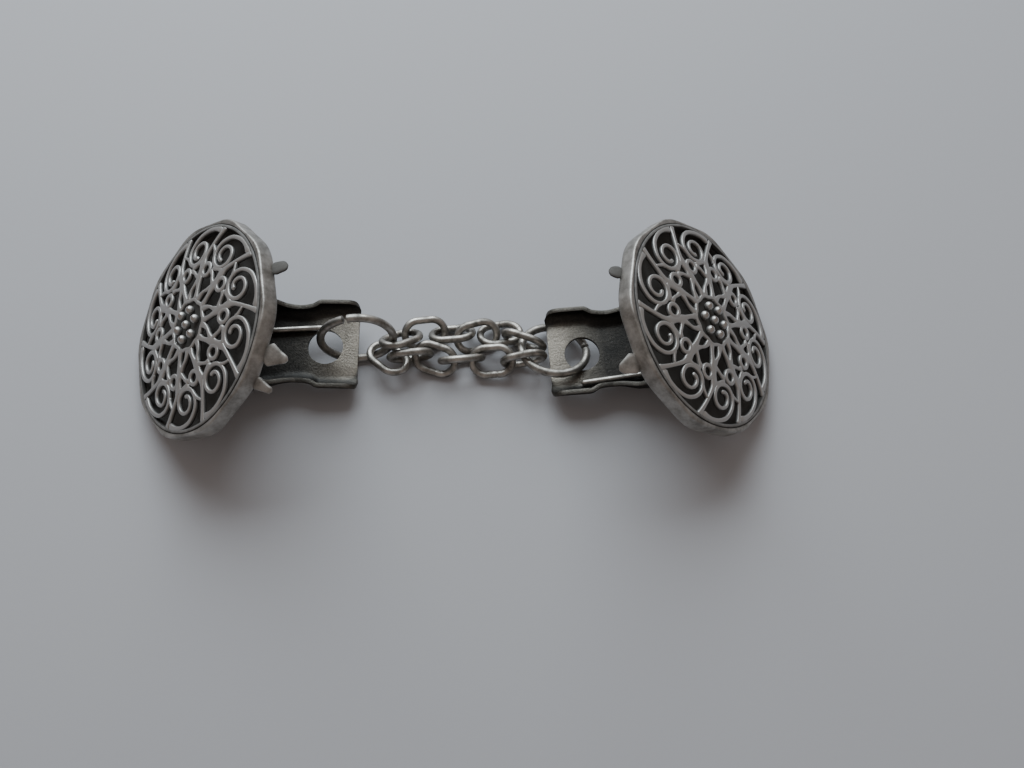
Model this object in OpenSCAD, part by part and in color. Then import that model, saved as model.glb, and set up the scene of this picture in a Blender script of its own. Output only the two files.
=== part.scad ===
// Sweater clip: two filigree medallions on spring clips, joined by a double chain.
// Millimetres. X runs along the chain, Z is up, and the clip lies on the plane z = 0.

/* [View] */
// Node to build, or all of them

/* [Medallion] */
// Diameter of the medallion's rim
medallion_d = 30; // [24:40]
// Height of the rim
rim_h = 2.2; // [1.5:0.1:3]
// Thickness of the rim's wall
rim_wall = 0.75; // [0.6:0.05:1.2]
// Bevel on the rim's edges
edge = 0.25; // [0.1:0.05:0.3]
// Half height of the rim's ten flats, as a share of the medallion's diameter
flat_share = 0.4875; // [0.485:0.0005:0.5]
// Thickness of the closed back
back_wall = 0.6; // [0.5:0.1:1]
// Width of the ledge that carries the filigree
ledge_w = 0.55; // [0.4:0.05:1]
// Angle between the medallion's back and the table
lean = 44; // [35:55]
// Angle by which the claws are bent back
claw_bend = 35; // [0:45]

/* [Filigree] */
// Scrolls around the medallion
scroll_count = 10; // [8:12]
// Direction of the left medallion's first scroll from its uphill side
left_phase = 6.7; // [0:0.1:36]
// Direction of the right medallion's first scroll from its uphill side
right_phase = 28.9; // [0:0.1:36]
// Radius of the sphere that the openwork follows
dome_r = 70; // [50:120]
// Thickness of the openwork
lace_t = 0.6; // [0.5:0.05:1]
// Width of the main ribs
rib_w = 0.62; // [0.45:0.01:0.8]
// Width of the scrolls' wire
scroll_w = 0.5; // [0.4:0.01:0.7]
// Width of the border ring
border_w = 0.7; // [0.5:0.05:1]
// Inner radius of the ring about the beads
eye_r = 3.2; // [2.8:0.1:4]
// Diameter of each bead
bead_d = 1.2; // [1:0.05:1.4]
// Distance of the outer beads from the medallion's centre
bead_ring_r = 2; // [1.6:0.05:2.2]

/* [Clip] */
// Thickness of the clip's sheet steel
sheet = 0.6; // [0.5:0.05:0.8]
// Drop of the hinge pin below the medallion's back
pin_drop = 6.1; // [5.5:0.1:7]
// Place of the hinge pin along the slope
pin_x = -0.95; // [-3:0.05:1]
// Diameter of the hinge pin
pin_d = 1.2; // [1:0.05:1.6]
// Radius of the ears about the pin
ear_r = 1.6; // [1.4:0.05:2]
// Half width over the lever's ears
ear_half = 6.2; // [5:0.05:7]
// Half width over the thumb tab
tab_half = 6.35; // [5:0.05:7]
// Half width over the waist
waist_half = 5.6; // [4:0.05:6]
// Drop of the tail's underside below the pin
tail_drop = 3.0; // [2.95:0.05:4.2]
// Length of the tail from the pin to its end
tail_len = 15.2; // [13:0.1:18]
// Height of the side walls over the underside
side_h = 2.5; // [1.5:0.1:3]
// Diameter of the hole in the tab
hole_d = 4.9; // [4:0.1:5]
// Distance from the hole's centre to the tail's end
hole_edge = 4.6; // [4:0.1:6]
// Half width of the jaw
jaw_half = 4.8; // [3:0.1:5.5]
// Place of the jaw's tip along the slope
jaw_x = -9.4; // [-12:0.1:-7]
// Teeth of the jaw
tooth_count = 7; // [4:10]

/* [Spring] */
// Mean radius of the coil
coil_r = 1.8; // [1.6:0.05:2]
// Diameter of the spring wire
spring_d = 0.8; // [0.6:0.05:0.9]
// Full turns of the coil
coil_turns = 7; // [5:7]
// Distance along the pin between the coil's two legs
coil_len = 6.9; // [6.7:0.05:7]
// Distance of the left spring's tail leg from the clip's middle
left_leg_y = 1.95; // [1.95:0.05:3.8]
// Distance of the right spring's tail leg from the clip's middle
right_leg_y = 3.75; // [1.95:0.05:3.8]
// Spread of the tail leg from the coil to its end
leg_splay = 0.75; // [0:0.05:0.8]

/* [Chain] */
// Wire diameter of the end rings
ring_wire = 1.15; // [1:0.05:1.2]
// Mean radius of the left end ring
left_ring_r = 4.95; // [4.5:0.05:5.5]
// Mean radius of the right end ring
right_ring_r = 4.55; // [4:0.05:5.5]
// Wire diameter of the links
link_wire = 1.05; // [0.9:0.05:1.05]
// Length of a link between wire centres
link_len = 5.7; // [5.5:0.05:5.9]
// Width of a link between wire centres
link_w = 3.8; // [3.7:0.05:4]

/* [Hidden] */
clear = 0.05;
gap = 0.1;
slit = 0.2;
rim_r = medallion_d / 2;
lace_r = rim_r - rim_wall - gap;
lace_z = rim_h + gap;
unit_z = max((rim_r - edge) * sin(lean), rim_r * sin(lean) - edge * cos(lean));
tab_z = unit_z + pin_x * sin(lean) - pin_drop * cos(lean) - tail_drop;
corner = 1.2;
bore_d = pin_d + 2 * clear;
leg_end = tail_len - hole_edge + 0.7;

// Each side: turn on the table, twist on the medallion, offset of the clip, place of the tab's hole
left_place = [7.5, -11.5, 0.5, -17.94, 1.38];
right_place = [0, 6.8, -0.55, -17.79, -0.29];

// The chain's route, heights counted from the tabs: each piece's centre, turn, climb and roll.
// It starts with the left end ring and ends with the right one, whose rolls say where their slits are.
// Between them are the far strand's six links and then the near strand's six.
route = [
    [[-13.22, 1.29, 3.31], -85, -83, 194],
    [[-7.42, 2.35, 1.04], 38, -28, 144],
    [[-4.19, 3.86, -0.35], 11, -8, 36],
    [[-0.37, 3.78, -0.32], 3, 4, 140],
    [[3.12, 3.39, -0.39], 16, -1, 40],
    [[6.38, 3.95, -0.67], 15, -8, 160],
    [[9.74, 2.46, 0.28], -21, 1, 96],
    [[-9.13, -0.1, 0.01], -41, 5, 163],
    [[-6.08, 0.17, 0.26], 6, 2, 102],
    [[-2.68, -0.14, -0.28], -17, -5, 41],
    [[1.05, -0.4, 0.23], 8, -6, 113],
    [[5.3, -0.6, 0.04], 0, 11, 33],
    [[9.66, -0.59, 0.75], 4, 22, 97],
    [[13.9, 0.88, 0.46], 72, -21, 300]
];

// Height of the openwork's top over the medallion's back
function dome_z(r) = lace_z + (lace_r * lace_r - r * r) / (2 * dome_r);

// A point from its radius and angle
function polar(r, a) = [r * cos(a), r * sin(a)];

// Outline of a strand of even width along a path
function heading(p, i) = let (q = p[min(i + 1, len(p) - 1)] - p[max(i - 1, 0)]) q / norm(q);
function beside(p, i, d) = let (h = heading(p, i)) p[i] + d * [-h[1], h[0]];
function strand(p, w) = concat(
    [for (i = [0:len(p) - 1]) beside(p, i, w / 2)],
    [for (i = [len(p) - 1:-1:0]) beside(p, i, -w / 2)]
);

// Radius at a share of the way from the eye to the border
function from_eye(share) = eye_r + share * (lace_r - eye_r);

// One scroll: angle about its centre and distance from it, as a share of the distance to the rim
scroll_x = from_eye(0.658);
scroll_reach = lace_r - scroll_x;
curl = [
    [-66, 1.35], [-50, 1.12], [-30, 0.91], [-10, 0.77], [35, 0.62], [80, 0.59], [125, 0.55], [166, 0.49],
    [215, 0.46], [260, 0.45], [305, 0.43], [361, 0.34], [431, 0.285], [485, 0.27], [551, 0.19]
];
function curl_r(a) = lookup(a, curl) * scroll_reach;
function curl_point(a) = [scroll_x, 0] + curl_r(a) * [cos(a), sin(a)];

// Paths of one sector: share of the way from the eye to the border, and angle
rib_path = [[0.025, -20], [0.12, -17.5], [0.24, -14], [0.31, -12], [0.485, -11.5], [0.575, -12.5],
    [0.695, -15.5], [0.785, -18], [0.955, -21.5]];
brace_path = [[0.275, -12.5], [0.335, -5], [0.393, 1], [0.43, 7]];
tie_path = [[0.525, -12], [0.496, -6], [0.47, -1], [0.464, 4]];
inner_path = [[0.04, 9], [0.14, 1], [0.21, -6], [0.275, -12]];
spur_path = [[0.638, 12.5], [0.73, 19]];
dot_at = [0.412, 15];
dot_r = 0.235 * scroll_reach;

function path_points(t) = [for (q = t) polar(from_eye(q[0]), q[1])];

module sector() {
    polygon(strand([for (a = [-66:22:550]) curl_point(a)], scroll_w));
    polygon(strand(path_points(rib_path), rib_w));
    polygon(strand(path_points(brace_path), scroll_w));
    polygon(strand(path_points(tie_path), scroll_w));
    polygon(strand(path_points(inner_path), scroll_w));
    polygon(strand(path_points(spur_path), scroll_w));
    translate(curl_point(551)) circle(r = scroll_w * 0.75, $fn = 24);
    rotate(dot_at[1]) translate([from_eye(dot_at[0]), 0]) difference() {
        circle(r = dot_r + scroll_w / 2, $fn = 32);
        circle(r = dot_r - scroll_w / 2, $fn = 32);
    }
}

module lace_plan(phase) {
    difference() {
        circle(r = lace_r, $fn = 128);
        circle(r = lace_r - border_w, $fn = 128);
    }
    difference() {
        circle(r = eye_r + rib_w, $fn = 64);
        circle(r = eye_r, $fn = 64);
    }
    for (i = [0:scroll_count - 1]) {
        rotate(phase + i * 360 / scroll_count) sector();
    }
}

module filigree(phase) {
    eye_z = dome_z(eye_r);
    difference() {
        intersection() {
            translate([0, 0, lace_z - 2 * lace_t]) linear_extrude(dome_z(0) - lace_z + 3 * lace_t)
                lace_plan(phase);
            translate([0, 0, dome_z(0) - dome_r]) sphere(r = dome_r, $fn = 256);
        }
        translate([0, 0, dome_z(0) - dome_r - lace_t]) sphere(r = dome_r, $fn = 256);
    }
    translate([0, 0, eye_z - lace_t]) cylinder(r = eye_r + rib_w / 2, h = lace_t / 2, $fn = 64);
    for (i = [0:6]) {
        at = i == 0 ? [0, 0] : polar(bead_ring_r, i * 60);
        translate([at[0], at[1], eye_z - lace_t / 2 + bead_d * 0.35]) sphere(d = bead_d, $fn = 20);
    }
}

// Claws on the bezel's back edge: angle, then width and reach as shares of the rim's radius
left_claws = [[8.5, 0.13, 0.15], [-35, 0.22, 0.22], [-50, 0.11, 0.19]];
right_claws = [[-11.5, 0.13, 0.12], [36, 0.2, 0.19]];

module claw(angle, width, reach) {
    rotate(angle) translate([rim_r * 0.96, 0, 0]) rotate([0, claw_bend, 0])
        linear_extrude(back_wall) polygon(rim_r * [
            [-0.03, -width / 2], [0.04, -width / 2], [reach * 0.8, -width * 0.22],
            [reach, 0], [reach * 0.8, width * 0.22], [0.04, width / 2], [-0.03, width / 2]
        ]);
}

module bezel(claws, phase) {
    ledge_z = dome_z(lace_r) - lace_t - gap;
    inside = rim_r - rim_wall;
    intersection() {
        rotate_extrude($fn = 128) polygon([
            [0, 0], [rim_r - edge, 0], [rim_r, edge], [rim_r, rim_h - edge], [rim_r - edge, rim_h],
            [inside, rim_h], [inside, ledge_z], [inside - ledge_w, ledge_z],
            [inside - ledge_w, back_wall], [0, back_wall]
        ]);
        rotate(phase + rib_path[8][1]) linear_extrude(rim_h)
            circle(r = medallion_d * flat_share / cos(180 / scroll_count), $fn = scroll_count);
    }
    for (c = claws) {
        claw(c[0], c[1], c[2]);
    }
}

// A flat shape in the clip's side view, given thickness across the clip
module across(y, t) {
    translate([0, y + t, 0]) rotate([90, 0, 0]) linear_extrude(t) children();
}

module clip_base() {
    inner = ear_half + slit;
    top = pin_drop - gap;
    translate([-4, -inner - sheet, top - sheet]) cube([9, 2 * (inner + sheet), sheet]);
    for (y = [-inner - sheet, inner]) {
        across(y, sheet) difference() {
            union() {
                circle(r = ear_r, $fn = 40);
                polygon([[-ear_r, 0], [ear_r, 0], [4.4, top], [-3.4, top]]);
            }
            circle(d = bore_d, $fn = 40);
        }
    }
}

module hinge_pin() {
    outer = ear_half + slit + sheet + gap;
    translate([0, outer, 0]) rotate([90, 0, 0]) cylinder(d = pin_d, h = 2 * outer, $fn = 32);
    for (y = [outer + 0.35, -outer]) {
        translate([0, y, 0]) rotate([90, 0, 0]) cylinder(d = pin_d + 0.9, h = 0.35, $fn = 32);
    }
}

// Lever's edge: share of the tail's length, then shares of the half widths over ears, waist and tab
lever_edge = [
    [-0.2, 1, 0, 0], [0.23, 1, 0, 0], [0.34, 0.25, 0.75, 0], [0.41, 0, 1, 0], [0.51, 0, 1, 0],
    [0.58, 0, 0.8, 0.2], [0.645, 0, 0, 1]
];

// Plan of the lever with its edge drawn in by some amount
module lever_plan(inset) {
    t = tab_half - inset;
    halves = [0, ear_half, waist_half, tab_half];
    side = concat(
        [for (q = lever_edge) [q[0] * tail_len, q * halves - inset]],
        [[tail_len - corner, t], [tail_len - corner / 4, t - corner / 4], [tail_len, t - corner]]
    );
    polygon(concat(side, [for (i = [len(side) - 1:-1:0]) [side[i][0], -side[i][1]]]));
}

// The jaw's tip in the lever's own frame
function tip_point(x, z) = [
    (x - pin_x) * cos(lean) - (z + pin_drop) * sin(lean),
    (x - pin_x) * sin(lean) + (z + pin_drop) * cos(lean)
];

module lever() {
    low = -tail_drop;
    tip = tip_point(jaw_x, -slit);
    back = tip_point(jaw_x - 0.9, -slit);
    wall_z = low + side_h;
    difference() {
        union() {
            translate([0, 0, low]) linear_extrude(sheet) lever_plan(0);
            intersection() {
                translate([0, 0, low]) linear_extrude(tail_drop + ear_r) difference() {
                    lever_plan(0);
                    translate([-5, 0]) square([10, 2 * (ear_half - sheet)], center = true);
                    lever_plan(sheet);
                    translate([tail_len, 0]) square([2.6, 2 * (tab_half - sheet)], center = true);
                }
                across(-tab_half, 2 * tab_half) union() {
                    circle(r = ear_r, $fn = 40);
                    polygon([
                        [-ear_r, 0], [-3, wall_z], [-3, low], [tail_len, low], [tail_len, wall_z - 1],
                        [tail_len - 0.3, wall_z - 0.3], [tail_len - 1, wall_z], [tail_len * 0.62, wall_z],
                        [tail_len * 0.46, wall_z - 0.35], [tail_len * 0.33, wall_z], [tail_len * 0.2, 0.4],
                        [ear_r, 0.4], [0, ear_r * 0.9]
                    ]);
                }
            }
            across(-jaw_half, 2 * jaw_half) polygon([
                [-2.2, low], [-3, low], back, tip, [-3.4, low + sheet], [-2.2, low + sheet]
            ]);
        }
        translate([tail_len - hole_edge, 0, low - 1]) cylinder(d = hole_d, h = sheet + 2, $fn = 48);
        across(-tab_half - 1, 2 * tab_half + 2) circle(d = bore_d, $fn = 32);
        for (i = [0:tooth_count - 1]) {
            y = jaw_half * (2 * (i + 0.5) / tooth_count - 1);
            translate([back[0], y, back[1]]) rotate([0, 0, 45]) cube([0.7, 0.7, 3], center = true);
        }
    }
}

// Closed tube of even thickness along a path that never runs along Y, with its ends capped
function ahead(p, i) = let (q = p[min(i + 1, len(p) - 1)] - p[max(i - 1, 0)]) q / norm(q);
function aside(q) = cross(q, [0, 1, 0]) / norm(cross(q, [0, 1, 0]));
function around(at, q, r, n) = [
    for (k = [0:n - 1]) at + r * (cos(360 * k / n) * aside(q) + sin(360 * k / n) * cross(aside(q), q))
];

module tube(p, r, n) {
    m = len(p);
    skin = [
        for (i = [0:m - 2], k = [0:n - 1])
            [i * n + k, i * n + (k + 1) % n, (i + 1) * n + (k + 1) % n, (i + 1) * n + k]
    ];
    first = [for (k = [n - 1:-1:0]) k];
    last = [for (k = [0:n - 1]) (m - 1) * n + k];
    rings = [for (i = [0:m - 1]) each around(p[i], ahead(p, i), r, n)];
    polyhedron(rings, concat(skin, [first], [last]), convexity = 10);
}

// Two legs and a coil about the pin, in the lever's own frame. One leg lies along the lever's floor.
// The other stands square against the base plate.
module spring(leg_y) {
    steps = 16;
    sweep = 360 * coil_turns + 90 - lean;
    up = pin_drop - sheet - spring_d / 2 - 2 * gap;
    base_y = leg_y - coil_len;
    tail_leg = [[leg_end, leg_y + leg_splay, -coil_r], [coil_r * 1.2, leg_y, -coil_r]];
    coil = [
        for (a = [0:360 / steps:sweep - 2])
            [-coil_r * sin(a), leg_y - coil_len * a / sweep, -coil_r * cos(a)]
    ];
    base_leg = [
        for (s = [0, 0.5, 1])
            [-coil_r * cos(lean) - s * up * sin(lean), base_y, s * up * cos(lean) - coil_r * sin(lean)]
    ];
    tube(concat(tail_leg, coil, base_leg), spring_d / 2, 6);
}

// A piece of the chain, set in its place on the route
module on_route(i) {
    p = route[i];
    translate([0, 0, tab_z] + p[0]) rotate([0, 0, p[1]])
        rotate([0, -p[2], 0]) rotate([p[3], 0, 0]) children();
}

module end_ring(i, radius) {
    p = route[i];
    translate([0, 0, tab_z] + p[0]) rotate([0, 0, p[1]]) rotate([0, -p[2], 0]) rotate(p[3])
        rotate_extrude(angle = 356, $fn = 64) translate([radius, 0]) circle(d = ring_wire, $fn = 24);
}

module link(i) {
    run = (link_len - link_w) / 2;
    on_route(i) for (s = [0, 180]) {
        rotate(s) translate([run, 0, 0]) rotate(-90) rotate_extrude(angle = 180, $fn = 40)
            translate([link_w / 2, 0]) circle(d = link_wire, $fn = 18);
        rotate(s) translate([-run, link_w / 2, 0]) rotate([0, 90, 0])
            cylinder(d = link_wire, h = 2 * run, $fn = 18);
    }
}

// Places: a side's own frame, its clip's pin and its level lever
function about_y(v, a) = [v[0] * cos(a) + v[2] * sin(a), v[1], v[2] * cos(a) - v[0] * sin(a)];
function about_z(v, a) = [v[0] * cos(a) - v[1] * sin(a), v[0] * sin(a) + v[1] * cos(a), v[2]];
function from_pin() = about_y([tail_len - hole_edge, 0, -tail_drop], lean);
function from_centre(p) = about_z([pin_x, p[2], -pin_drop] + from_pin(), p[1]);
function to_hole(p) = about_z(about_y(from_centre(p), -lean), p[0]);

module on_side(side) {
    p = side == "left" ? left_place : right_place;
    rotate(side == "left" ? 0 : 180)
        translate([p[3] - to_hole(p)[0], p[4] - to_hole(p)[1], unit_z])
        rotate(p[0]) rotate([0, -lean, 0]) children();
}

module at_pin(side) {
    p = side == "left" ? left_place : right_place;
    on_side(side) rotate(p[1]) translate([pin_x, p[2], -pin_drop]) children();
}

module at_lever(side) {
    at_pin(side) rotate([0, lean, 0]) children();
}

module left_bezel() { color("silver") on_side("left") bezel(left_claws, left_phase); }
module left_filigree() { color("gainsboro") on_side("left") filigree(left_phase); }
module left_clip_base() { color("dimgray") at_pin("left") clip_base(); }
module left_lever() { color("slategray") at_lever("left") lever(); }
module left_hinge_pin() { color("gold") at_pin("left") hinge_pin(); }
module left_spring() { color("orange") at_lever("left") spring(left_leg_y); }
module left_end_ring() { color("khaki") end_ring(0, left_ring_r); }
module right_bezel() { color("silver") on_side("right") bezel(right_claws, right_phase); }
module right_filigree() { color("gainsboro") on_side("right") filigree(right_phase); }
module right_clip_base() { color("dimgray") at_pin("right") clip_base(); }
module right_lever() { color("slategray") at_lever("right") lever(); }
module right_hinge_pin() { color("gold") at_pin("right") hinge_pin(); }
module right_spring() { color("orange") at_lever("right") spring(right_leg_y); }
module right_end_ring() { color("khaki") end_ring(13, right_ring_r); }
module far_link_1() { color("tomato") link(1); }
module far_link_2() { color("steelblue") link(2); }
module far_link_3() { color("tomato") link(3); }
module far_link_4() { color("steelblue") link(4); }
module far_link_5() { color("tomato") link(5); }
module far_link_6() { color("steelblue") link(6); }
module near_link_1() { color("seagreen") link(7); }
module near_link_2() { color("orchid") link(8); }
module near_link_3() { color("seagreen") link(9); }
module near_link_4() { color("orchid") link(10); }
module near_link_5() { color("seagreen") link(11); }
module near_link_6() { color("orchid") link(12); }

left_bezel();
left_filigree();
left_clip_base();
left_lever();
left_hinge_pin();
left_spring();
left_end_ring();
right_bezel();
right_filigree();
right_clip_base();
right_lever();
right_hinge_pin();
right_spring();
right_end_ring();
far_link_1();
far_link_2();
far_link_3();
far_link_4();
far_link_5();
far_link_6();
near_link_1();
near_link_2();
near_link_3();
near_link_4();
near_link_5();
near_link_6();
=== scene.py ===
import bmesh
import bpy
import numpy as np
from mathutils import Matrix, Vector


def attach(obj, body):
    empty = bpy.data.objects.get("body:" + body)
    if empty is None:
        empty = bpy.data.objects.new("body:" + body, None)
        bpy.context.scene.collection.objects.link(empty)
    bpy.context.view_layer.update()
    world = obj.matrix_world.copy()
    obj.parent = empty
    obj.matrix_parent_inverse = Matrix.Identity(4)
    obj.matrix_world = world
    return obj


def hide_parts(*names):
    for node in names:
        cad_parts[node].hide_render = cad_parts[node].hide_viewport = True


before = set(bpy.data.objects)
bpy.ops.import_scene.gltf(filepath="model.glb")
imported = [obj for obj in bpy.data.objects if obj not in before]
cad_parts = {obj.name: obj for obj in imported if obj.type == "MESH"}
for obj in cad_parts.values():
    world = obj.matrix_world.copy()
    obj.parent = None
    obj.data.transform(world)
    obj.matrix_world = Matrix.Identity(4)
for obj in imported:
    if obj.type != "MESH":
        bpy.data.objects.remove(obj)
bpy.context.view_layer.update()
print("frame loaded")

# Millimetres below; Shell.piece turns them into metres. The places are those of the CAD model.
clipPlaces = {
    "lean": 44.0, "centreHeight": 10.2465, "pinX": -0.95, "pinDrop": 6.1,
    "tailLength": 15.2, "holeEdge": 4.6, "tailDrop": 3.0,
    # face turns the whole clip, turn is its turn on the table, twist is about the disc's own axis, offset
    # is along the pin, and hole is where the hole of the tab lies
    "left": {"face": 0.0, "turn": 7.5, "twist": -11.5, "offset": 0.5, "hole": (-17.94, 1.38)},
    "right": {"face": 180.0, "turn": 0.0, "twist": 6.8, "offset": -0.55, "hole": (-17.79, -0.29)},
}


def turnX(degrees):  # turns about X, from Y towards Z
    c, s = np.cos(np.radians(degrees)), np.sin(np.radians(degrees))
    return np.array([[1, 0, 0], [0, c, -s], [0, s, c]])


def turnY(degrees):  # turns about Y, from Z towards X
    c, s = np.cos(np.radians(degrees)), np.sin(np.radians(degrees))
    return np.array([[c, 0, s], [0, 1, 0], [-s, 0, c]])


def turnZ(degrees):  # turns about Z, from X towards Y
    c, s = np.cos(np.radians(degrees)), np.sin(np.radians(degrees))
    return np.array([[c, -s, 0], [s, c, 0], [0, 0, 1]])


def clipFrames(side):
    # The medallion's frame leans back on the table; the pin's frame hangs under it, twisted about the
    # medallion's own axis; the lever's frame is the pin's, turned level again.
    p, place = clipPlaces, clipPlaces[side]
    lean = turnY(-p["lean"])
    reach = turnY(p["lean"]) @ np.array([p["tailLength"] - p["holeEdge"], 0, -p["tailDrop"]])
    pinAt = turnZ(place["twist"]) @ np.array([p["pinX"], place["offset"], -p["pinDrop"]])
    toHole = turnZ(place["turn"]) @ lean @ (pinAt + turnZ(place["twist"]) @ reach)
    centre = np.array([place["hole"][0] - toHole[0], place["hole"][1] - toHole[1], p["centreHeight"]])
    face = turnZ(place["face"])
    medallion = face @ turnZ(place["turn"]) @ lean
    pin = medallion @ turnZ(place["twist"])
    pinCentre = face @ centre + medallion @ pinAt
    return {"medallion": (medallion, face @ centre), "pin": (pin, pinCentre),
            "lever": (pin @ turnY(p["lean"]), pinCentre)}


class Shell:
    # Gathers grids into one mesh, with a "lift" from 0 in the hollows to 1 on the worn tops; on the bezel's
    # claws the lift is painted light, and on the levers it also carries painted shade up the walls and a
    # painted highlight along the cut edge

    def __init__(self):
        self.points = []
        self.faces = []
        self.lifts = []
        self.count = 0

    def add(self, points, lift):  # keeps points with their lift, and gives their numbers
        points = np.asarray(points, float).reshape(-1, 3)
        self.points.append(points)
        self.lifts.append(np.broadcast_to(np.asarray(lift, float).reshape(-1), (len(points),)))
        self.count += len(points)
        return np.arange(self.count - len(points), self.count)

    def grid(self, points, lift, wrapRows=False, wrapCols=True, ends=(None, None), gone=None):
        # Quads between neighbouring rows and columns, apart from those whose corners are all gone. An end
        # point closes its row as a fan.
        rows, cols = points.shape[:2]
        index = self.add(points, np.broadcast_to(lift, (rows, cols))).reshape(rows, cols)
        start = index[0, 0]
        if wrapCols:
            index = np.concatenate([index, index[:, :1]], 1)
        if wrapRows:
            index = np.concatenate([index, index[:1]], 0)
        quads = np.stack([index[:-1, :-1], index[1:, :-1], index[1:, 1:], index[:-1, 1:]], -1).reshape(-1, 4)
        if gone is not None:
            quads = quads[~gone.reshape(-1)[quads - start].all(1)]
        self.faces += quads.tolist()
        for end, row in ((ends[0], index[0]), (ends[1], index[-1])):
            if end is not None:
                tip = self.add([end], np.mean(lift))[0]
                self.faces += np.stack([row[:-1], row[1:], np.full(len(row) - 1, tip)], -1).tolist()

    def piece(self, name, body, finish, slot, nodes, place, sharp=38):
        # Turns and moves the points to their place, in metres, and keeps the lift for the materials
        points = np.concatenate(self.points) @ place[0].T + place[1]
        mesh = bpy.data.meshes.new(name)
        mesh.from_pydata((points * 0.001).tolist(), [], self.faces)
        lift = mesh.attributes.new("lift", "FLOAT", "POINT")
        lift.data.foreach_set("value", np.concatenate(self.lifts).astype(np.float32))
        return finishPiece(name, mesh, body, finish, nodes, sharp)


def finishPiece(name, mesh, body, finish, nodes, sharp):
    work = bmesh.new()
    work.from_mesh(mesh)
    bmesh.ops.recalc_face_normals(work, faces=work.faces)
    work.to_mesh(mesh)
    work.free()
    mesh.shade_smooth()
    mesh.set_sharp_from_angle(angle=np.radians(sharp))
    made = bpy.data.objects.new(name, mesh)
    bpy.context.scene.collection.objects.link(made)
    made.data.materials.append(finish)
    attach(made, body)
    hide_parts(*nodes)
    return made


def unit(vectors):  # each vector over its length
    return vectors / np.linalg.norm(vectors, axis=-1, keepdims=True)


def between(rows, at):  # straight lines between the rows of a table
    rows = np.array(rows)
    return np.interp(at, rows[:, 0], rows[:, 1])


def smoothPath(points, count):
    # Catmull-Rom curve through the points, sampled evenly in its parameter
    p = np.asarray(points, float)
    p = np.vstack([2 * p[0] - p[1], p, 2 * p[-1] - p[-2]])
    u = np.linspace(0, len(points) - 1, count)
    i = np.minimum(u.astype(int), len(points) - 2)
    t = (u - i)[:, None]
    a, b, c, d = p[i], p[i + 1], p[i + 2], p[i + 3]
    return 0.5 * (2 * b + (c - a) * t + (2 * a - 5 * b + 4 * c - d) * t ** 2
                  + (3 * b - a - 3 * c + d) * t ** 3)


def sweep(shell, path, normal, width, height, sides, closed=False, flat=1.0, liftRange=(0.0, 1.0), tip=1.0):
    # A section carried along a path: across is width/2 * cos^flat, up is height/2 * sin^flat, with the
    # signs of cos and sin. A flat under 1 squares the section. Open ends round off over tip half widths.
    width = np.broadcast_to(np.asarray(width, float), (len(path),))
    height = np.broadcast_to(np.asarray(height, float), (len(path),))
    normal = np.broadcast_to(normal, path.shape)
    if closed:
        tangent = unit(np.roll(path, -1, 0) - np.roll(path, 1, 0))
    else:
        tangent = unit(np.gradient(path, axis=0))
        steps = np.linalg.norm(np.diff(path, axis=0), axis=1)
        along = np.concatenate([[0], np.cumsum(steps)])
        room = np.clip(np.minimum(along, along[-1] - along) / (width / 2 * tip), 0, 1)
        taper = np.sqrt(1 - (1 - room) ** 2)
        width, height = width * np.maximum(taper, 0.12), height * np.maximum(taper, 0.2)
    lateral = unit(np.cross(normal, tangent))
    up = np.cross(tangent, lateral)
    angle = 2 * np.pi * np.arange(sides) / sides
    c = np.sign(np.cos(angle)) * np.abs(np.cos(angle)) ** flat
    s = np.sign(np.sin(angle)) * np.abs(np.sin(angle)) ** flat
    ring = (path[:, None] + lateral[:, None] * (width[:, None] / 2 * c)[..., None]
            + up[:, None] * (height[:, None] / 2 * s)[..., None])
    lift = liftRange[0] + (liftRange[1] - liftRange[0]) * (0.5 + 0.5 * np.sin(angle))
    ends = (None, None) if closed else (path[0], path[-1])
    shell.grid(ring, lift, wrapRows=closed, ends=ends)


# Materials: a socket that takes part in Python expressions, and one method for every other node

class Wire:
    def __init__(self, shop, socket):
        self.shop, self.socket = shop, socket

    def math(self, operation, first, second, clamp=False):
        return self.shop.node("ShaderNodeMath", {"operation": operation, "use_clamp": clamp},
                              {0: first, 1: second})

    def __add__(self, other):
        return self.math("ADD", self, other)

    def __radd__(self, other):
        return self.math("ADD", other, self)

    def __sub__(self, other):
        return self.math("SUBTRACT", self, other)

    def __rsub__(self, other):
        return self.math("SUBTRACT", other, self)

    def __mul__(self, other):
        return self.math("MULTIPLY", self, other)

    def __rmul__(self, other):
        return self.math("MULTIPLY", other, self)

    def clamp(self):  # holds the value between 0 and 1
        return self.math("ADD", self, 0.0, clamp=True)


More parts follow.
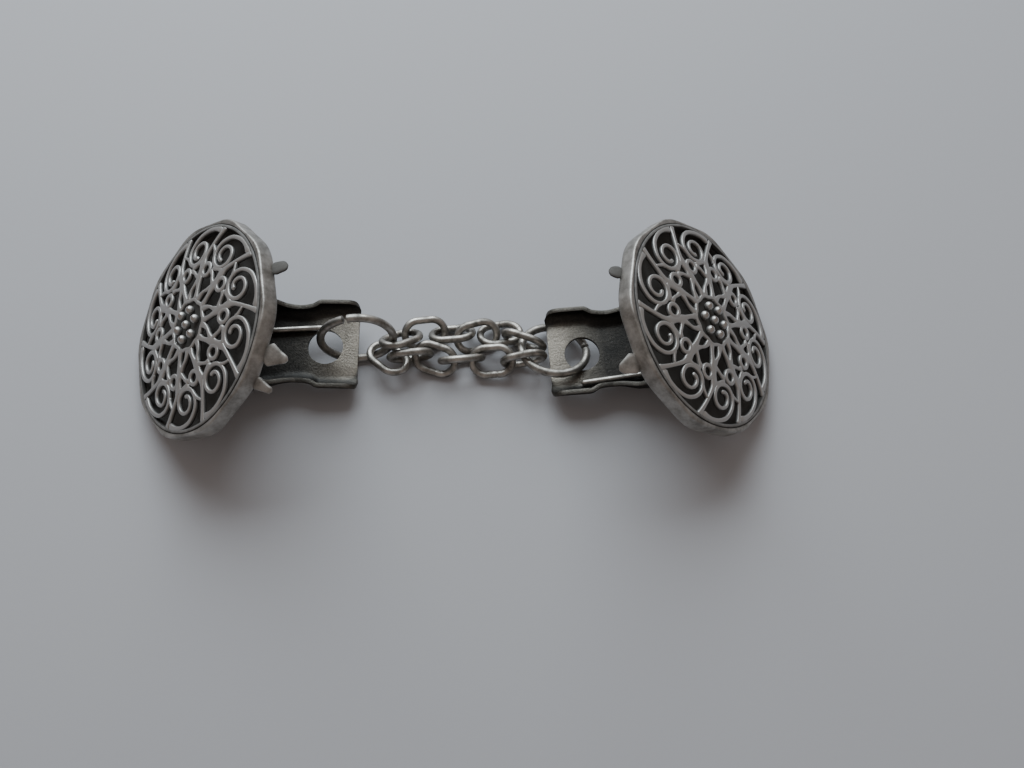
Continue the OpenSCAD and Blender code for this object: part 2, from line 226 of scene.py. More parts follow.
class Finish:
    def __init__(self, name, **fixed):
        self.material = bpy.data.materials.new(name)
        self.material.use_nodes = True
        self.tree = self.material.node_tree
        self.shader = self.tree.nodes["Principled BSDF"]
        for socket, value in fixed.items():
            self.shader.inputs[socket.replace("_", " ")].default_value = value

    def node(self, kind, settings, sockets, out=0):  # gives the wire of its output number out
        made = self.tree.nodes.new(kind)
        for name, value in settings.items():
            setattr(made, name, value)
        for key, value in sockets.items():
            if isinstance(value, Wire):
                self.tree.links.new(value.socket, made.inputs[key])
            else:
                made.inputs[key].default_value = value
        return Wire(self, made.outputs[out])

    def feed(self, **wires):  # links wires to the shader's own sockets
        for name, wire in wires.items():
            self.tree.links.new(wire.socket, self.shader.inputs[name.replace("_", " ")])

    def noise(self, scale, detail=4.0, roughness=0.55):  # scale is in turns per metre
        place = self.node("ShaderNodeTexCoord", {}, {}, out=3)  # the Object output
        return self.node("ShaderNodeTexNoise", {}, {"Vector": place, "Scale": scale, "Detail": detail,
                                                    "Roughness": roughness})

    def lift(self):  # the Fac output of the lift attribute
        return self.node("ShaderNodeAttribute", {"attribute_name": "lift"}, {}, out=2)

    def blend(self, factor, first, second):  # mixes two colours; 0, 6 and 7 are the sockets for colour
        return self.node("ShaderNodeMix", {"data_type": "RGBA"}, {0: factor, 6: first, 7: second}, out=2)

    def bump(self, height, strength, distance):
        return self.node("ShaderNodeBump", {}, {"Strength": strength, "Distance": distance, "Height": height})


def grey(level, warm):  # a grey that leans to yellow by the share warm
    return (level * (1 + warm), level, level * (1 - 1.6 * warm), 1.0)


# Colours and roughness, then the turns per metre of each pattern, and the strength and depth of the bump
finishes = {
    "strand": {"top": grey(0.42, 0.02), "flank": grey(0.04, 0.05), "rough": 0.5,
               "patch": 900, "grain": 6000, "bump": (0.25, 0.00008)},
    "rim": {"top": grey(0.42, 0.035), "hollow": grey(0.08, 0.04), "stain": grey(0.20, 0.05), "rough": 0.5,
            "blot": 420, "grain": 5000, "scratch": 1700, "bump": (0.2, 0.0001)},
    "sheet": {"bright": grey(0.24, 0.09), "dark": grey(0.028, 0.02), "rough": 0.36,
              "cloud": 350, "grain": 3600, "bump": (0.6, 0.00014)},
    "wire": {"bright": grey(0.44, 0.05), "dark": grey(0.12, 0.06), "rough": 0.36,
             "patch": 700, "grain": 7000, "bump": (0.25, 0.00008)},
    "patinaMetal": 0.25,  # how metallic a casting still is under its patina
}


def makeStrandFinish():
    # Pale satin metal on top, black patina down the flanks, and a polish where the lift is over 1
    f, look, dull = Finish("agedSilverStrand"), finishes["strand"], finishes["patinaMetal"]
    patch, grain = f.noise(look["patch"]), f.noise(look["grain"], 3)
    shown = ((f.lift() - 0.38) * 3.4 + (patch - 0.5) * 0.8).clamp()
    f.feed(Base_Color=f.blend(shown, look["flank"], look["top"]))
    polish = ((f.lift() - 1.0) * 6).clamp()
    f.feed(Roughness=(look["rough"] + (1 - shown) * 0.3 - polish * 0.27 + (grain - 0.5) * 0.25).clamp())
    f.feed(Metallic=shown * (1 - dull) + dull)
    f.feed(Normal=f.bump(patch * 0.7 + grain * 0.3, *look["bump"]))
    return f.material


def makeRimFinish():
    # Worn pewter band with dull stains; the inside of the dish is blackened. The claws take painted light from
    # their lift: low lift paints a claw dark as painted shade, high lift paints it pale as if lit
    f, look, dull = Finish("agedSilverRim"), finishes["rim"], finishes["patinaMetal"]
    stain, grain = f.noise(look["blot"], 5, 0.65), f.noise(look["grain"], 3)
    scratch = f.noise(look["scratch"], 6)
    lift = f.lift()
    shown = (lift * 1.15 + (scratch - 0.5) * 0.5 * lift).clamp()
    worn = f.blend(((stain - 0.36) * 3.6).clamp(), look["stain"], look["top"])
    f.feed(Base_Color=f.blend(shown, look["hollow"], worn))
    f.feed(Roughness=(look["rough"] + (1 - shown) * 0.35 + (grain - 0.5) * 0.3).clamp())
    f.feed(Metallic=shown * (1 - dull) + dull)
    f.feed(Normal=f.bump(stain * 0.4 + scratch * 0.35 + grain * 0.25, *look["bump"]))
    return f.material


def makeSheetFinish(name, share):
    # Darkened sheet metal, brightened by a share of the lift: rubbed bright where thumbs press, with painted
    # shade up the lever's walls and a painted highlight on its cut edge
    f, look = Finish(name, Metallic=1.0), finishes["sheet"]
    cloud, grain = f.noise(look["cloud"], 5, 0.6), f.noise(look["grain"], 4, 0.7)
    lift = f.lift() * share
    shown = (lift + ((cloud - 0.5) * 0.9 + (grain - 0.5) * 1.2) * (lift + 0.22)).clamp()
    f.feed(Base_Color=f.blend(shown, look["dark"], look["bright"]))
    f.feed(Roughness=(look["rough"] + (grain - 0.5) * 0.35 + (1 - shown) * 0.12).clamp())
    f.feed(Normal=f.bump(cloud * 0.3 + grain * 0.7, *look["bump"]))
    return f.material


def makeWireFinish(name, brightness):
    # Drawn and tumbled wire, dull in patches
    f, look = Finish(name, Metallic=1.0), finishes["wire"]
    patch, grain = f.noise(look["patch"], 5, 0.6), f.noise(look["grain"], 3)
    shown = ((patch - 0.36) * 3.0 + brightness).clamp()
    f.feed(Base_Color=f.blend(shown, look["dark"], look["bright"]))
    f.feed(Roughness=(look["rough"] + (1 - shown) * 0.22 + (grain - 0.5) * 0.2).clamp())
    f.feed(Normal=f.bump(patch * 0.6 + grain * 0.4, *look["bump"]))
    return f.material


strandFinish = makeStrandFinish()
rimFinish = makeRimFinish()
leverFinish = makeSheetFinish("rubbedLeverSheetPaintedShade", 1.0)
baseFinish = makeSheetFinish("darkBaseSheet", 0.55)
springFinish = makeWireFinish("springWire", 0.35)
chainFinish = makeWireFinish("chainWire", 0.12)
print("materials made")


# Filigree: the strands of ten equal sectors, laid on a shallow dome

filigree = {
    "rimRadius": 15.0, "laceRadius": 14.15, "laceZ": 2.3, "domeRadius": 70.0, "thickness": 0.6,
    "sectors": 10, "phase": {"left": 6.7, "right": 28.9}, "borderWidth": 0.46,
    "eyeRadius": 3.2, "eyeRing": {"out": 0.22, "lobe": 0.1, "width": 0.5},
    "plate": {"out": 0.25, "top": 0.32, "bottom": 0.55},
    "bead": {"radius": 0.6, "ring": 2.0, "raise": 0.12},
    # one scroll: angle about its centre, and distance from it as a share of that to the rim
    "scrollAt": 0.658,
    "curl": [(-66, 1.35), (-50, 1.12), (-30, 0.91), (-10, 0.77), (35, 0.62), (80, 0.59), (125, 0.55),
             (166, 0.49), (215, 0.46), (260, 0.45), (305, 0.43), (361, 0.34), (431, 0.285), (485, 0.27),
             (551, 0.19)],
    "curlWidth": [(-66, 1.05), (-45, 0.6), (10, 0.58), (90, 0.5), (180, 0.62), (400, 0.44), (551, 0.56)],
    # the other strands: share of the way from the eye to the border, angle in the sector, and width
    "rib": [(0.0, -20.5, 1.2), (0.12, -17.5, 0.64), (0.22, -14.6, 0.74), (0.30, -12.2, 1.3),
            (0.39, -11.6, 0.8), (0.49, -11.5, 1.2), (0.575, -12.5, 0.68), (0.695, -15.5, 0.56),
            (0.80, -18, 0.56), (0.93, -20.8, 0.72), (0.985, -21.5, 1.25)],
    "brace": [(0.30, -12.5, 1.15), (0.335, -5, 0.52), (0.393, 1, 0.5), (0.43, 7, 0.95)],
    "tie": [(0.505, -12, 1.1), (0.496, -6, 0.52), (0.47, -1, 0.52), (0.464, 6, 1.1)],
    "inner": [(0.0, 9.5, 1.1), (0.14, 1, 0.5), (0.21, -6, 0.54), (0.29, -12, 1.1)],
    "spur": [(0.61, 11, 0.95), (0.66, 14, 0.48), (0.74, 19.5, 0.3)],
    "steps": {"rib": 54, "brace": 20, "tie": 18, "inner": 20, "spur": 12},
    # a small ring: the same share and angle, its radius as a share of the scroll's reach, and its width
    "dot": (0.412, 15, 0.235, 0.56),
}


def fromEye(share):  # radius at a share of the way from the eye to the border
    return filigree["eyeRadius"] + share * (filigree["laceRadius"] - filigree["eyeRadius"])


def domeHeight(radius):  # a paraboloid over the bezel's top edge
    f = filigree
    return f["laceZ"] + (f["laceRadius"] ** 2 - radius ** 2) / (2 * f["domeRadius"])


def layStrand(shell, plan, width, closed=False, lift=(0.0, 1.0)):
    # Lifts a plan path onto the dome and sweeps a squared section along it
    radius = np.hypot(plan[:, 0], plan[:, 1])
    thick = filigree["thickness"]
    path = np.column_stack([plan, domeHeight(radius) - thick / 2])
    normal = unit(np.column_stack([plan / filigree["domeRadius"], np.ones(len(plan))]))
    sweep(shell, path, normal, width, thick, 16, closed, 0.45, lift)


def ringPlan(centre, radius, count):  # a circle in equal steps
    angle = 2 * np.pi * np.arange(count) / count
    return np.column_stack([centre[0] + radius * np.cos(angle), centre[1] + radius * np.sin(angle)])


def makeFiligree(side, place):
    # The strands are drawn for one sector and turned into the others
    f, shell = filigree, Shell()
    lace, scrollX, phase = f["laceRadius"], fromEye(f["scrollAt"]), f["phase"][side]
    curlAngle = np.linspace(f["curl"][0][0], f["curl"][-1][0], 110)
    bend = between(f["curl"], curlAngle)
    bend[2:-2] = np.convolve(bend, np.ones(5) / 5, "valid")  # a running mean rounds the table's corners
    reach = bend * (lace - scrollX)
    curlPlan = np.column_stack([scrollX + reach * np.cos(np.radians(curlAngle)),
                                reach * np.sin(np.radians(curlAngle))])
    curlWidth = between(f["curlWidth"], curlAngle)
    for sector in range(f["sectors"]):
        turn = phase + sector * 360 / f["sectors"]
        spin = turnZ(turn)[:2, :2]
        layStrand(shell, curlPlan @ spin.T, curlWidth)
        for name, count in f["steps"].items():
            smooth = smoothPath(f[name], count)
            angle = np.radians(smooth[:, 1] + turn)
            plan = fromEye(smooth[:, :1]) * np.column_stack([np.cos(angle), np.sin(angle)])
            layStrand(shell, plan, smooth[:, 2])
        share, at, radius, width = f["dot"]
        centre = fromEye(share) * np.array([np.cos(np.radians(at + turn)), np.sin(np.radians(at + turn))])
        layStrand(shell, ringPlan(centre, radius * (lace - scrollX), 20), width, True)
    layStrand(shell, ringPlan((0, 0), lace - f["borderWidth"] / 2, 180), f["borderWidth"], True, (0.0, 0.5))

    # the eye's ring bends in between the strands that meet it
    eye, eyeZ = f["eyeRing"], domeHeight(f["eyeRadius"])
    angle = np.radians(np.arange(0, 360, 3))
    lobes = f["eyeRadius"] + eye["out"] - eye["lobe"] * np.cos((angle - np.radians(phase)) * f["sectors"])
    layStrand(shell, np.column_stack([lobes * np.cos(angle), lobes * np.sin(angle)]), eye["width"], True)

    # a small plate inside the eye carries the beads, one in the middle and six about it
    top, bottom = eyeZ - f["plate"]["top"], eyeZ - f["plate"]["bottom"]
    plate = ringPlan((0, 0), f["eyeRadius"] + f["plate"]["out"], 48)
    layers = np.stack([np.column_stack([plate, np.full(len(plate), z)]) for z in (top, bottom)])
    shell.grid(layers, 0.1, ends=((0, 0, top), (0, 0, bottom)))
    bead, pole = f["bead"], 0.12
    polar = np.linspace(pole, np.pi - pole, 12)[:, None]
    around = np.linspace(0, 2 * np.pi, 20, endpoint=False)[None]
    ball = np.stack([np.sin(polar) * np.cos(around), np.sin(polar) * np.sin(around),
                     np.cos(polar) * np.ones_like(around)], -1)
    for i in range(7):
        away, angle = (bead["ring"] if i else 0), np.radians(i * 60)
        at = np.array([away * np.cos(angle), away * np.sin(angle), eyeZ + bead["raise"]])
        shell.grid(at + bead["radius"] * ball, 0.75 + 0.55 * np.cos(polar),
                   ends=(at + [0, 0, bead["radius"]], at - [0, 0, bead["radius"]]))
    shell.piece(side + "Filigree", side + "_medallion", strandFinish, "medallion_alloy",
                [side + "_filigree"], place)


# Bezel: a shallow dish whose rim has ten soft flats, with claws on its back edge

bezel = {
    "height": 2.2, "edge": 0.25, "wall": 0.75, "back": 0.6, "ledge": 0.55, "clearance": 0.1,
    # how far out the flats stand as a share of the radius, how sharply they begin, and a corner's angle
    "flat": 0.975, "bite": 150, "corner": -21.5, "wobble": 0.05,
    # angle, then width and reach as shares of the rim's radius, width of the tip, and wear, which is painted
    # light: a low value paints the claw dark as painted shade, a high one pale as if lit. They start at
    # clawRoot, a share of the radius, and clawHeight over the back
    "claws": {"left": [(9.5, 0.13, 0.15, 0.85, 0.1), (-35, 0.22, 0.22, 0.28, 0.95),
                       (-50, 0.12, 0.19, 0.5, 0.9)],
              "right": [(-11.5, 0.13, 0.12, 0.85, 0.1), (36, 0.2, 0.19, 0.5, 0.95)]},
    "clawRoot": 0.95, "clawHeight": 0.3, "clawBend": 35.0, "clawThickness": 0.58,
}


def bezelProfile():
    # Rows of radius, height, share of the ten-sided outline, and wear, from under the dish to inside it
    b = bezel
    radius, top, edge, back = filigree["rimRadius"], b["height"], b["edge"], b["back"]
    inside = radius - b["wall"]
    step = inside - b["ledge"]
    ledge = domeHeight(filigree["laceRadius"]) - filigree["thickness"] - b["clearance"]
    arc = np.radians([0, 30, 60, 90])
    under = [(4, 0, 0, 0.75), (9, 0, 0, 0.75), (13, 0, 1, 0.75)]
    low = [(radius - edge + edge * np.sin(a), edge - edge * np.cos(a), 1, 1) for a in arc]
    band = [(radius, edge + (top - 2 * edge) * t, 1, 1) for t in (0.25, 0.5, 0.75)]
    high = [(radius - edge + edge * np.cos(a), top - edge + edge * np.sin(a), 1, 1) for a in arc]
    lip = [(radius - 0.5, top, 0.6, 0.8), (inside + 0.06, top, 0.15, 0.4), (inside, top - 0.06, 0, 0.1),
           (inside, ledge + 0.02, 0, 0.1)]
    dish = [(step, ledge, 0, 0), (step - 0.02, ledge - 0.05, 0, 0), (step, back + 0.05, 0, 0),
            (step - 0.1, back, 0, 0), (9, back, 0, 0), (4, back, 0, 0)]
    return np.array(under + low + band + high + lip + dish)


def makeBezel(side, place):
    # The profile turned about Z, its outer part drawn in to a ten-sided outline with soft corners
    b, shell, radius = bezel, Shell(), filigree["rimRadius"]
    profileRadius, height, outer, worn = bezelProfile().T[..., None]
    angle = np.radians(np.arange(0, 360, 1.0))
    spread = 360 / filigree["sectors"]
    corner = filigree["phase"][side] + b["corner"]
    fromCorner = (np.degrees(angle) - corner + spread / 2) % spread - spread / 2
    flat = b["flat"] / np.cos(np.radians(spread / 2 - np.abs(fromCorner)))
    pull = 1 - np.log1p(np.exp((1 - flat) * b["bite"])) / b["bite"]
    ripple = np.sin(3 * angle + 1.1) + 0.7 * np.sin(7 * angle) + 0.5 * np.sin(13 * angle + 2)
    dent = np.abs(b["wobble"] * ripple / 2.2)  # the three waves together reach 2.2
    r = profileRadius * (1 + (pull - 1) * outer) - dent * outer
    points = np.stack([r * np.cos(angle), r * np.sin(angle), height + 0 * r], -1)
    shell.grid(points, worn, ends=((0, 0, 0), (0, 0, b["back"])))

    # each claw runs out under the rim and curves back to its bend
    t, bent = np.linspace(0, 1, 18), np.radians(b["clawBend"])
    # the wear number of a claw is painted light: a low one paints it dark as painted shade, a high one pale as
    # if lit
    for at, width, reach, tip, wear in b["claws"][side]:
        a = np.radians(at)
        out = radius * (b["clawRoot"] + (0.01 + reach * np.cos(bent)) * t)
        climb = b["clawHeight"] - radius * reach * np.sin(bent) * t ** 1.4
        path = np.column_stack([out * np.cos(a), out * np.sin(a), climb])
        wide = radius * width * np.interp(t, [0, 0.35, 0.75, 1], [1.0, 0.95, 0.3 + 0.6 * tip, tip])
        lean = np.sin(bent) * t
        normal = unit(np.column_stack([lean * np.cos(a), lean * np.sin(a), np.ones(len(t))]))
        sweep(shell, path, normal, wide, b["clawThickness"], 16, flat=0.6, liftRange=(wear - 0.2, wear))
    shell.piece(side + "Bezel", side + "_medallion", rimFinish, "medallion_alloy", [side + "_bezel"], place)


# Lever: one pressed sheet with a flat floor, walls that curl up from it, ears about the pin and a jaw

lever = {
    "sheet": 0.6, "bend": 2.2, "low": -3.0, "holeRadius": 2.45,
    # runs over which the plan and the walls round off at the tail's end, and what the walls lose there
    "endRound": 0.6, "wallRound": 2.4, "wallLoss": 0.95,
    # the jaw's tip and root, its height and half width at the tip, and its teeth with their depth and run
    "jawTip": -10.6, "jawRoot": -3.2, "jawEnd": -2.01, "jawHalf": 4.8,
    "teeth": 7, "toothDepth": 0.45, "toothRun": 2.0,
    # share of the tail's length, and half width there
    "outline": [(-0.2, 6.2), (0.23, 6.2), (0.34, 5.75), (0.41, 5.6), (0.51, 5.6), (0.58, 5.75),
                (0.645, 6.35)],
    # place along the lever, and height of the walls; the first row behind the jaw has its own height
    "channelStart": -3.0, "firstWall": 0.9,
    "walls": [(-3, 2.5), (-1.7, 2.9), (-1.2, 4.1), (-0.6, 4.5), (0, 4.6), (0.6, 4.5), (1.2, 4.1), (1.7, 3.6),
              (3, 3.3), (5, 2.5), (7, 2.15), (9.5, 2.5)],
    # wear along the lever; across the bent sheet, a share that keeps the rubbed floor bright and darkens the
    # walls as painted shade; and a painted highlight on its cut edge
    "wear": [(-10, 0.05), (2, 0.0), (7.5, 0.06), (10.5, 0.36), (13, 0.8), (15.2, 1.0)],
    "wearAndShadeAcross": [(0, 1), (0.5, 0.9), (0.66, 0.1), (1, 0.05)], "edgeHighlight": 0.22,
}
softEdge = {"width": 0.00009, "segments": 2}  # in metres, on every stamped piece


def softenEdges(piece, limit):  # bevels the edges that turn by more than the limit, in degrees
    edges = piece.modifiers.new("edges", "BEVEL")
    edges.width, edges.segments = softEdge["width"], softEdge["segments"]
    edges.limit_method, edges.angle_limit = "ANGLE", np.radians(limit)


def makeLever(side, place):
    # Rows run from the jaw's teeth to the tab's end. Each row is a U: flat, a bend of up to a quarter turn,
    # then a wall. The parameter across the row, s, is a share of its run along the bent sheet.
    v, shell = lever, Shell()
    length, bend, endRound = clipPlaces["tailLength"], v["bend"], v["endRound"]
    jawRows = np.linspace(v["jawTip"], v["jawRoot"], 34)
    x = np.concatenate([jawRows, np.linspace(v["channelStart"], length, 124)])
    jaw = np.arange(len(x)) < len(jawRows)
    half = np.where(jaw, v["jawHalf"], between(v["outline"], x / length))
    smoothed = slice(len(jawRows) + 6, -6)
    half[smoothed] = np.convolve(half, np.array([1, 2, 3, 2, 1]) / 9, "same")[smoothed]
    endRun = np.clip(x - length + endRound, 0, endRound)
    half -= endRound - np.sqrt(endRound ** 2 - endRun ** 2)
    drop = np.clip((x - length + v["wallRound"]) / v["wallRound"], 0, 1)
    wall = np.where(jaw, 0.0, between(v["walls"], x) * np.sqrt(1 - v["wallLoss"] * drop ** 3))
    wall[len(jawRows)] = v["firstWall"]
    floor = np.interp(x, [v["jawTip"], v["channelStart"]], [v["jawEnd"], v["low"]])

    x, half, wall, floor = x[:, None], half[:, None], wall[:, None], floor[:, None]
    s = np.linspace(-1, 1, 95)[None]
    angle = np.arccos(np.clip(1 - wall / bend, 0, 1))
    flatRun = half - bend * np.sin(angle)
    run = np.abs(s) * (flatRun + bend * angle + np.maximum(wall - bend, 0))
    turned = np.clip((run - flatRun) / bend, 0, angle)
    rest = np.maximum(run - flatRun - bend * angle, 0)
    y = (np.minimum(run, flatRun) + bend * np.sin(turned)) * np.sign(s)
    z = floor + bend * (1 - np.cos(turned)) + rest
    teeth = v["toothDepth"] * np.abs((y / (2 * v["jawHalf"]) * v["teeth"]) % 1 - 0.5)
    xs = x + np.clip((v["jawTip"] + v["toothRun"] - x) / v["toothRun"], 0, 1) * teeth

    # points of the floor inside the hole move out to its edge, and the faces between them go
    holeX = length - clipPlaces["holeEdge"]
    away = np.hypot(xs - holeX, y)
    inner = (away < v["holeRadius"]) & (z < v["low"] + 0.02)
    grow = np.where(inner, v["holeRadius"] / np.maximum(away, 1e-6), 1.0)
    points = np.stack([holeX + (xs - holeX) * grow, y * grow, z], -1)
    # the lift is wear along the lever, painted shade up the walls and a painted highlight along the cut edge
    wearShadeAndHighlight = between(v["wear"], x) * between(v["wearAndShadeAcross"], np.abs(s)) + v["edgeHighlight"] * (np.abs(s) > 0.99)
    shell.grid(points, wearShadeAndHighlight, wrapCols=False, gone=inner)
    made = shell.piece(side + "Lever", "levers_and_chain", leverFinish, "clip_steel",
                       [side + "_lever"], place)

    # the grid is the sheet's underside, so the thickness goes up from it
    up = np.array(made.data.polygons[0].normal) @ (place[0] @ np.array([0, 0, 1.0]))
    thick = made.modifiers.new("thickness", "SOLIDIFY")
    thick.thickness = v["sheet"] * 0.001
    thick.offset = 1 if up > 0 else -1
    softenEdges(made, 50)


def makeBase(side):
    # Base plate and its ears: the CAD node's own shape, with its flat faces merged and its edges softened
    mesh = bpy.data.objects[side + "_clip_base"].data.copy()
    work = bmesh.new()
    work.from_mesh(mesh)
    bmesh.ops.remove_doubles(work, verts=work.verts, dist=1e-6)
    bmesh.ops.dissolve_limit(work, angle_limit=np.radians(1), verts=work.verts, edges=work.edges)
    work.to_mesh(mesh)
    work.free()
    mesh.materials.clear()
    lift = mesh.attributes.new("lift", "FLOAT", "POINT")
    lift.data.foreach_set("value", np.full(len(mesh.vertices), 0.4, np.float32))
    made = finishPiece(side + "Base", mesh, side + "_medallion", baseFinish,
                       [side + "_clip_base"], 30)
    softenEdges(made, 40)


hingePin = {
    "radius": 0.6, "headRadius": 1.05, "headHeight": 0.35, "half": 7.1, "edge": 0.06,
    "dome": [(1.0, 0.55), (0.86, 0.86), (0.5, 0.98)],  # shares of the head's radius and height
}


def makePin(side, place):
    # A profile turned about Y: a shank with a domed head at each end
    h, shell = hingePin, Shell()
    half, head, tall = h["half"], h["headRadius"], h["headHeight"]
    right = [(h["radius"], 0), (h["radius"], half), (head - h["edge"], half), (head, half + h["edge"])]
    right += [(head * wide, half + tall * high) for wide, high in h["dome"]]
    profile = np.array([(r, -y) for r, y in right[:0:-1]] + right)
    angle = np.radians(np.arange(0, 360, 12))
    r, y = profile.T[..., None]
    points = np.stack([r * np.cos(angle), y + 0 * angle, r * np.sin(angle)], -1)
    shell.grid(points, 0.6, ends=((0, -half - tall, 0), (0, half + tall, 0)))
    shell.piece(side + "Pin", side + "_medallion", springFinish, "clip_steel", [side + "_hinge_pin"], place)


spring = {
    "coilRadius": 1.8, "wire": 0.8, "turns": 7, "coilLength": 6.9,
    # the lever's leg: its place along the pin, how far it splays, and where it ends and meets the coil
    "legY": {"left": 1.95, "right": 3.75}, "splay": 0.75, "legEnd": 11.3, "legStart": 0.35,
    "up": 4.9,  # length of the base plate's leg
}


def makeSpring(side, place):
    # A helix about the pin between two straight legs, wound as (-sin a, y, -cos a)
    s, shell, lean, legY = spring, Shell(), np.radians(clipPlaces["lean"]), spring["legY"][side]
    coilRadius, coilLength = s["coilRadius"], s["coilLength"]
    sweepAngle = 360 * s["turns"] + 90 - clipPlaces["lean"]
    a = np.linspace(0, sweepAngle, int(sweepAngle / 14))
    coil = np.column_stack([-np.sin(np.radians(a)) * coilRadius, legY - coilLength * a / sweepAngle,
                            -np.cos(np.radians(a)) * coilRadius])
    t = np.linspace(0, 1, 26)[:, None]
    tail = ((1 - t) * [s["legEnd"], legY + s["splay"], -coilRadius]
            + t * [s["legStart"], legY, -coilRadius])
    start = np.array([-coilRadius * np.cos(lean), legY - coilLength, -coilRadius * np.sin(lean)])
    base = start + (t * s["up"])[1:] * [-np.sin(lean), 0, np.cos(lean)]
    wire = s["wire"] * 0.99  # a hair under the CAD wire
    alongPin = (0, 1, 0.001)  # its small Z part keeps it off the path's own direction
    sweep(shell, np.vstack([tail, coil, base]), alongPin, wire, wire, 12, tip=0.4)
    shell.piece(side + "Spring", "levers_and_chain", springFinish, "spring_steel", [side + "_spring"],
                place, 60)


# Chain: two round end rings and the links of both strands, where the CAD model has them

chain = {
    "tabHeight": 2.198, "ringWire": 1.15, "linkWire": 1.05, "linkLength": 5.7, "linkWidth": 3.8,
    "ringRadius": {"left_end_ring": 4.95, "right_end_ring": 4.55},
    "seamAt": 9, "seamWidth": 0.86,  # the step at which a link is closed, and its width there
    "route": [  # node, centre above the tabs, turn, climb, roll
        ("left_end_ring", (-13.22, 1.29, 3.31), -85, -83, 194),
        ("far_link_1", (-7.42, 2.35, 1.04), 38, -28, 144),
        ("far_link_2", (-4.19, 3.86, -0.35), 11, -8, 36),
        ("far_link_3", (-0.37, 3.78, -0.32), 3, 4, 140),
        ("far_link_4", (3.12, 3.39, -0.39), 16, -1, 40),
        ("far_link_5", (6.38, 3.95, -0.67), 15, -8, 160),
        ("far_link_6", (9.74, 2.46, 0.28), -21, 1, 96),
        ("near_link_1", (-9.13, -0.1, 0.01), -41, 5, 163),
        ("near_link_2", (-6.08, 0.17, 0.26), 6, 2, 102),
        ("near_link_3", (-2.68, -0.14, -0.28), -17, -5, 41),
        ("near_link_4", (1.05, -0.4, 0.23), 8, -6, 113),
        ("near_link_5", (5.3, -0.6, 0.04), 0, 11, 33),
        ("near_link_6", (9.66, -0.59, 0.75), 4, 22, 97),
        ("right_end_ring", (13.9, 0.88, 0.46), 72, -21, 300),
    ],
}


def linkPath(count):
    # A stadium: half circles joined by straight runs, walked at even steps
    run, half = (chain["linkLength"] - chain["linkWidth"]) / 2, chain["linkWidth"] / 2
    s = np.arange(count) / count * (4 * run + 2 * np.pi * half)
    legs = np.cumsum([2 * run, np.pi * half, 2 * run])
    turn1, turn2 = (s - legs[0]) / half, (s - legs[2]) / half
    x = np.select([s < legs[0], s < legs[1], s < legs[2]],
                  [-run + s, run + half * np.sin(turn1), run - (s - legs[1])], -run - half * np.sin(turn2))
    y = np.select([s < legs[0], s < legs[1], s < legs[2]],
                  [-half + 0 * s, -half * np.cos(turn1), half + 0 * s], half * np.cos(turn2))
    return np.column_stack([x, y, 0 * s])


def ringPath(radius):  # a circle that stays open by a narrow slit
    angle = np.radians(np.linspace(-0.6, 356.6, 160))
    return np.column_stack([radius * np.cos(angle), radius * np.sin(angle), 0 * angle])


def makeChain():
    # Each wire swells and thins by 1.5 % about 0.985 of its size, and a link is pinched at its seam
    for number, (node, centre, turn, climb, roll) in enumerate(chain["route"]):
        shell, sway = Shell(), np.random.default_rng(number + 3)
        ring = node in chain["ringRadius"]
        path = ringPath(chain["ringRadius"][node]) if ring else linkPath(96)
        wire = chain["ringWire"] if ring else chain["linkWire"]
        pose = turnZ(turn) @ turnY(-climb) @ (turnZ(roll) if ring else turnX(roll))
        u = np.linspace(0, 2 * np.pi, len(path))
        uneven = 0.985 + 0.01 * np.sin(2 * u + sway.uniform(0, 6)) + 0.005 * np.sin(5 * u + sway.uniform(0, 6))
        if not ring:
            uneven[chain["seamAt"]] *= chain["seamWidth"]
        sweep(shell, path, (0, 0, 1), wire * uneven, wire * uneven, 18, closed=not ring, tip=0.2)
        at = np.array(centre) + [0, 0, chain["tabHeight"]]
        first, *rest = node.split("_")
        name = first + "".join(word.title() for word in rest)
        shell.piece(name, "levers_and_chain", chainFinish, "chain_steel", [node], (pose, at), 50)


for side in ("left", "right"):
    places = clipFrames(side)
    makeFiligree(side, places["medallion"])
    makeBezel(side, places["medallion"])
    makeLever(side, places["lever"])
    makeBase(side)
    makePin(side, places["pin"])
    makeSpring(side, places["lever"])
    print(side, "clip made")
makeChain()
print("chain made")


# Table, light and camera, in metres

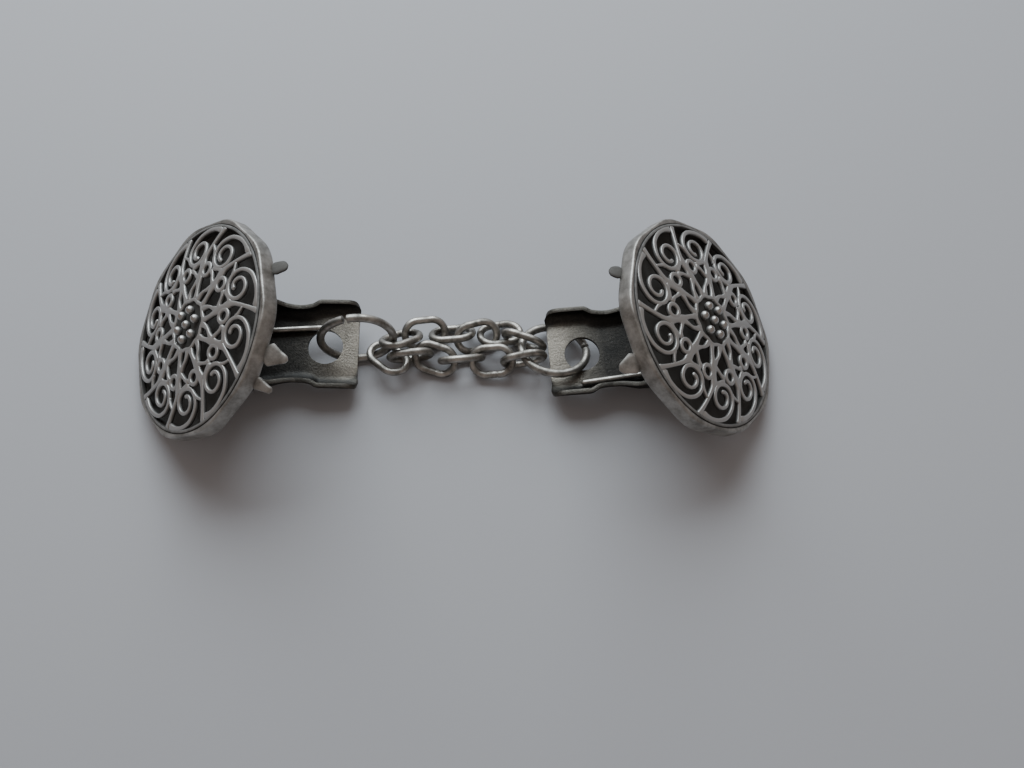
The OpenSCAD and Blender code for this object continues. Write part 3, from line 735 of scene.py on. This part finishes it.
table = {
    "size": 4.0, "colour": (0.405, 0.409, 0.43, 1.0), "rough": 0.7,
    "fibre": 900, "bump": (0.08, 0.0001),
}
light = {
    "sky": (1.0, 0.87, 0.80, 1.0), "skyStrength": 0.32,
    "windowAt": (-0.05, 0.30, 0.26), "windowSize": 0.36, "windowPower": 2.55,
    "windowColour": (0.85, 0.94, 1.0),
}
view = {"at": (0.00805, -0.0714, 0.1534), "tilt": 24.0, "lens": 42.19, "sensor": 36.0, "clip": (0.005, 20)}

paper = Finish("paleTable", Base_Color=table["colour"], Roughness=table["rough"])
paper.feed(Normal=paper.bump(paper.noise(table["fibre"], 5), *table["bump"]))
half = table["size"] / 2
tableMesh = bpy.data.meshes.new("tableTop")
tableMesh.from_pydata([(-half, -half, 0), (half, -half, 0), (half, half, 0), (-half, half, 0)], [],
                      [(0, 1, 2, 3)])
tableTop = bpy.data.objects.new("tableTop", tableMesh)
tableMesh.materials.append(paper.material)
bpy.context.scene.collection.objects.link(tableTop)

world = bpy.data.worlds.new("room")
bpy.context.scene.world = world
world.use_nodes = True
sky = world.node_tree.nodes["Background"]
sky.inputs["Color"].default_value = light["sky"]
sky.inputs["Strength"].default_value = light["skyStrength"]

lamp = bpy.data.lights.new("window", "AREA")
lamp.shape, lamp.size = "SQUARE", light["windowSize"]
lamp.energy, lamp.color = light["windowPower"], light["windowColour"]
lampObject = bpy.data.objects.new("window", lamp)
lampObject.location = light["windowAt"]
lampObject.rotation_euler = (-Vector(light["windowAt"])).to_track_quat("-Z", "Y").to_euler()
bpy.context.scene.collection.objects.link(lampObject)

camera = bpy.data.cameras.new("camera")
camera.lens, camera.sensor_width, camera.sensor_fit = view["lens"], view["sensor"], "HORIZONTAL"
camera.clip_start, camera.clip_end = view["clip"]
cameraObject = bpy.data.objects.new("camera", camera)
cameraObject.location = view["at"]
cameraObject.rotation_euler = (np.radians(view["tilt"]), 0, 0)
bpy.context.scene.collection.objects.link(cameraObject)
bpy.context.scene.camera = cameraObject
print("table, light and camera set")
